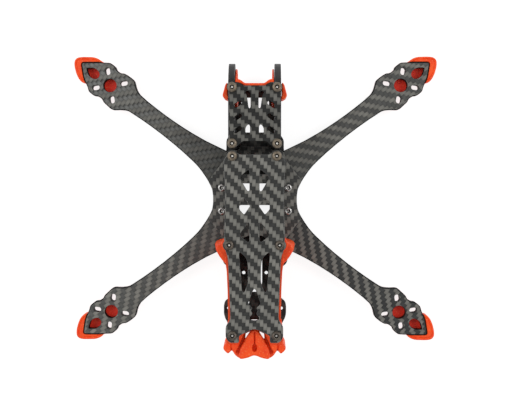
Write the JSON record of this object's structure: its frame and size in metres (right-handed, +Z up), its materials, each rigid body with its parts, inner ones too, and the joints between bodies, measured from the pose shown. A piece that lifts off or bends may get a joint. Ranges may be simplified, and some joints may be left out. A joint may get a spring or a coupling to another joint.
{
  "type": "quadcopter frame kit",
  "caption": "Bare carbon-fibre quadcopter frame with swept arms on soft printed landing pads, stacked plates on standoffs, a camera cage and a printed antenna tail.",
  "frame": {"origin": "middle of the frame's own box, on the ground plane under the four landing pads", "axes": "+X to the right-hand side, +Y towards the nose with the camera cage, +Z up"},
  "size_m": [0.221, 0.1808, 0.0408],
  "materials": {
    "carbon": "satin",
    "printed_tpu": "matte",
    "black_alloy": "satin",
    "bronzed_steel": "satin",
    "plain_steel": "satin"
  },
  "bodies": {
    "root": {"arm_front_left": "carbon", "arm_front_right": "carbon", "arm_rear_left": "carbon", "arm_rear_right": "carbon", "landing_pad_front_left": "printed_tpu", "landing_pad_front_right": "printed_tpu", "landing_pad_rear_left": "printed_tpu", "landing_pad_rear_right": "printed_tpu", "bottom_plate": "carbon", "middle_plate": "carbon", "main_top_plate": "carbon", "front_top_plate": "carbon", "camera_side_plate_left": "black_alloy", "camera_side_plate_right": "black_alloy", "camera_cradle": "printed_tpu", "standoff_front_left": "black_alloy", "standoff_front_right": "black_alloy", "standoff_middle_left": "black_alloy", "standoff_middle_right": "black_alloy", "standoff_rear_left": "black_alloy", "standoff_rear_right": "black_alloy", "top_screw_front_left": "bronzed_steel", "bottom_screw_front_left": "bronzed_steel", "top_screw_front_right": "bronzed_steel", "bottom_screw_front_right": "bronzed_steel", "top_screw_middle_left": "bronzed_steel", "bottom_screw_middle_left": "bronzed_steel", "top_screw_middle_right": "bronzed_steel", "bottom_screw_middle_right": "bronzed_steel", "top_screw_rear_left": "bronzed_steel", "bottom_screw_rear_left": "bronzed_steel", "top_screw_rear_right": "bronzed_steel", "bottom_screw_rear_right": "bronzed_steel", "top_screw_nose_left": "bronzed_steel", "bottom_screw_nose_left": "bronzed_steel", "top_screw_nose_right": "bronzed_steel", "bottom_screw_nose_right": "bronzed_steel", "top_screw_cage_left": "bronzed_steel", "bottom_screw_cage_left": "bronzed_steel", "top_screw_cage_right": "bronzed_steel", "bottom_screw_cage_right": "bronzed_steel", "arm_bolt_front_left": "plain_steel", "arm_nut_front_left": "plain_steel", "stack_bolt_front_left": "bronzed_steel", "stack_nut_front_left": "plain_steel", "arm_bolt_front_right": "plain_steel", "arm_nut_front_right": "plain_steel", "stack_bolt_front_right": "bronzed_steel", "stack_nut_front_right": "plain_steel", "arm_bolt_rear_left": "plain_steel", "arm_nut_rear_left": "plain_steel", "stack_bolt_rear_left": "bronzed_steel", "stack_nut_rear_left": "plain_steel", "arm_bolt_rear_right": "plain_steel", "arm_nut_rear_right": "plain_steel", "stack_bolt_rear_right": "bronzed_steel", "stack_nut_rear_right": "plain_steel", "side_guard_left": "printed_tpu", "side_guard_right": "printed_tpu", "antenna_tail": "printed_tpu"}
  },
  "joints": []
}
